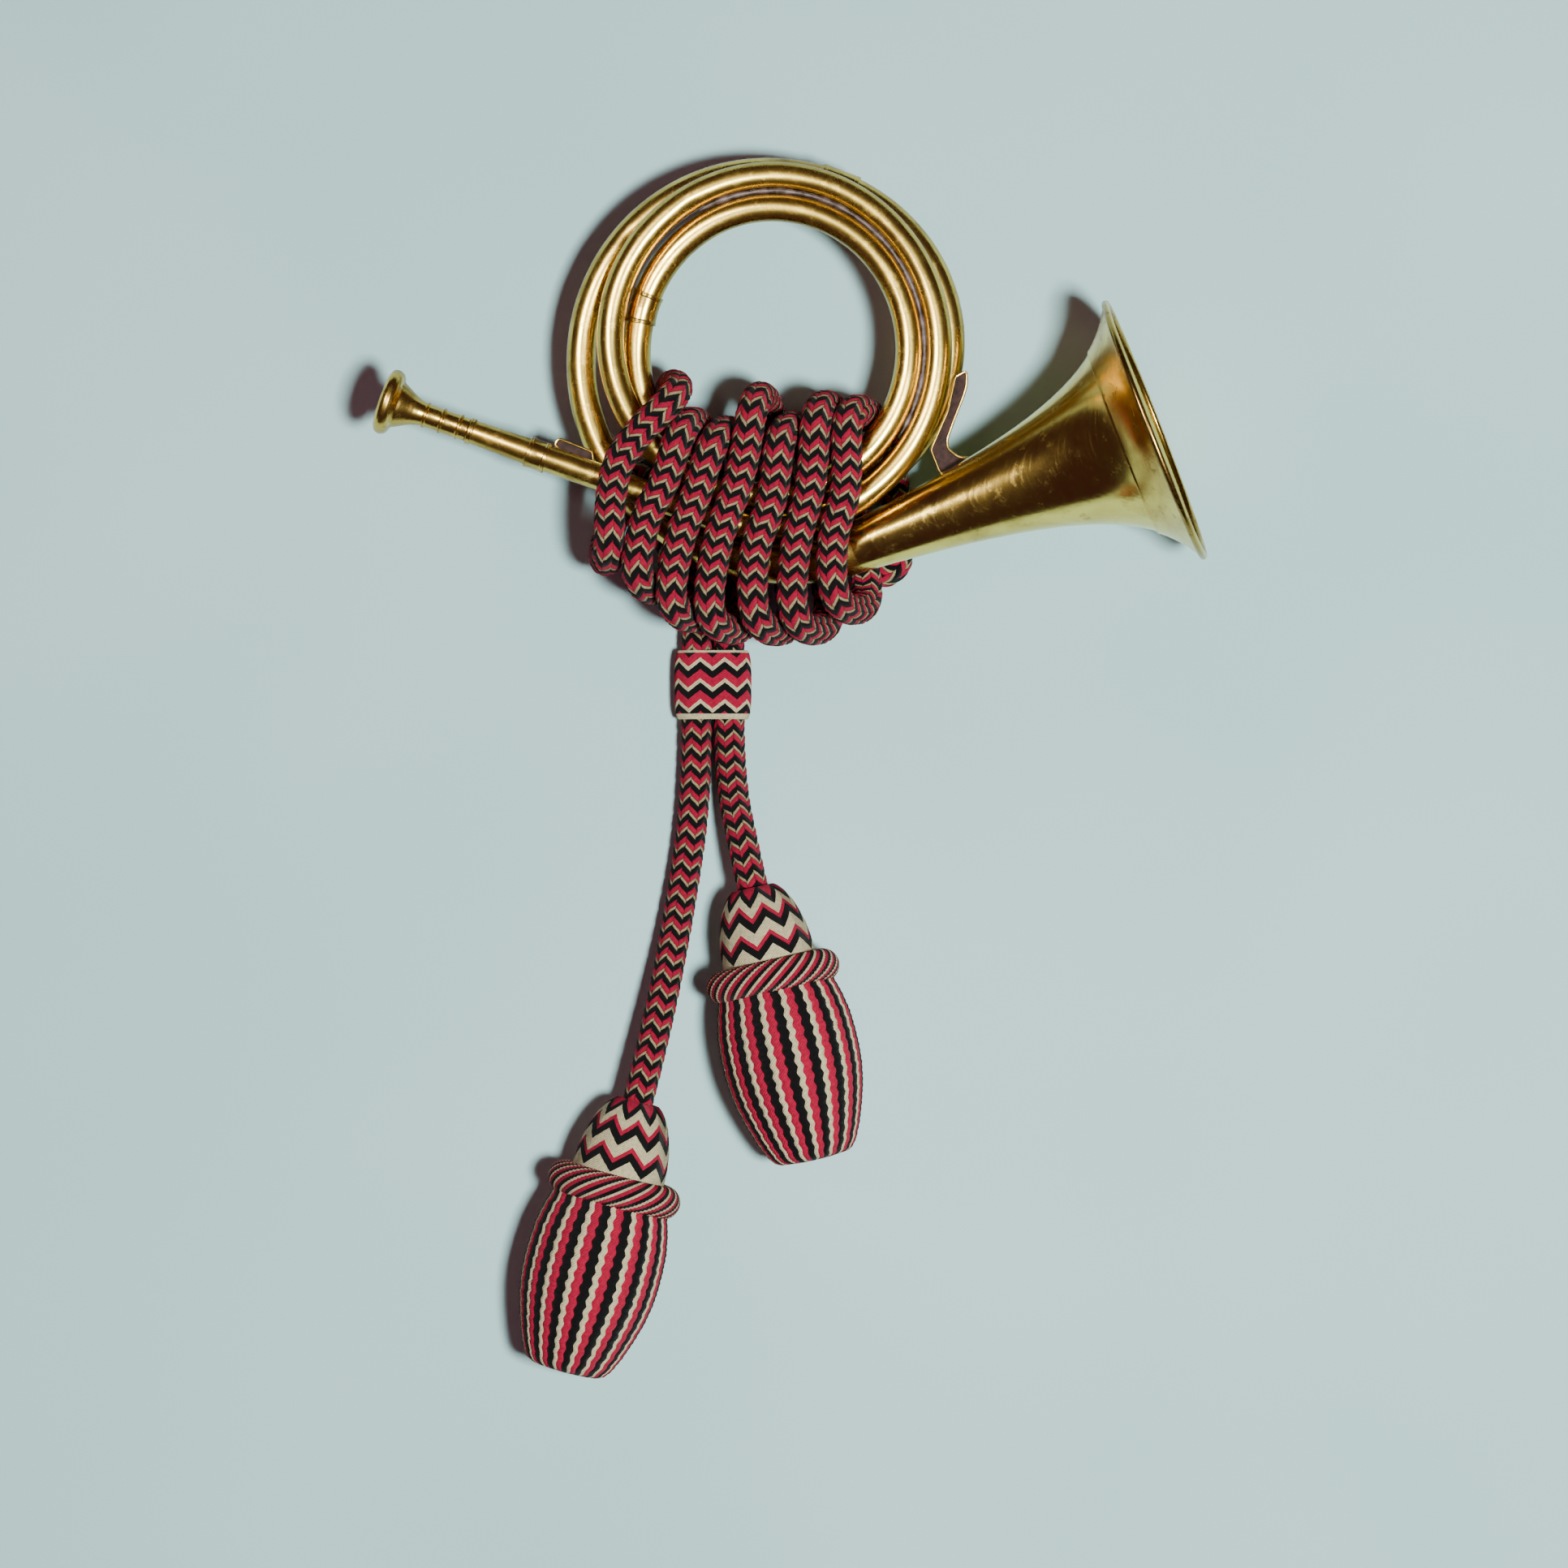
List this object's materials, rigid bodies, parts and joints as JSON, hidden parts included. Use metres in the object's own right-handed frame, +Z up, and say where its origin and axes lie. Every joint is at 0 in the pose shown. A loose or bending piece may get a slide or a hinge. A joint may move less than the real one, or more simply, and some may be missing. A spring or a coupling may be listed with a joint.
{
  "type": "post horn",
  "caption": "Coiled brass post horn with flared bell and removable mouthpiece, wound with a braided cord that runs through a woven slider to tassels.",
  "frame": {"origin": "on the resting surface, under the middle of the horn's outline without its cord and tassels", "axes": "+Z up from the surface the horn lies on, +X from the mouthpiece's side to the bell's side, +Y towards the top of the coil"},
  "size_m": [0.3418, 0.5044, 0.1118],
  "materials": {
    "tube_brass": "polished, worn and slightly tarnished",
    "bell_brass": "polished, with fine dents and brown tarnish near the rim",
    "fitting_brass": "polished, with dark lines in the turned grooves",
    "cord_braid": "round braid in crimson, black and cream zigzags",
    "slider_weave": "woven zigzag bands in crimson, black and cream",
    "head_weave": "woven zigzag bands in crimson, black and cream",
    "ring_rope": "twisted strands in crimson, black and cream",
    "body_plait": "plaited stripes in crimson, black and cream",
    "core_wood": "plain turned wood, hidden"
  },
  "bodies": {
    "horn": {"receiver_ring": "fitting_brass", "mouthpipe": "fitting_brass", "mouthpipe_ferrule": "fitting_brass", "first_branch": "tube_brass", "inner_ferrule": "fitting_brass", "second_branch": "tube_brass", "outer_ferrule": "fitting_brass", "bell_branch": "tube_brass", "bell": "bell_brass", "garland": "fitting_brass", "rim_wire": "fitting_brass", "bell_stay": "fitting_brass", "mouthpipe_stay": "fitting_brass", "cord": "cord_braid", "tassel_left_core": "core_wood", "tassel_left_head": "head_weave", "tassel_left_ring": "ring_rope", "tassel_left_body": "body_plait", "tassel_right_core": "core_wood", "tassel_right_head": "head_weave", "tassel_right_ring": "ring_rope", "tassel_right_body": "body_plait"},
    "mouthpiece": {"mouthpiece": "fitting_brass"},
    "slider": {"cord_slider": "slider_weave"}
  },
  "joints": [
    {"name": "mouthpiece_pull", "type": "slide", "parent": "horn", "child": "mouthpiece", "axis": [-0.9415, 0.3371, 0], "range_m": [0, 0.03]},
    {"name": "slider_slide", "type": "slide", "parent": "horn", "child": "slider", "axis": [0, 1, 0], "range_m": [-0.006, 0.004]}
  ]
}
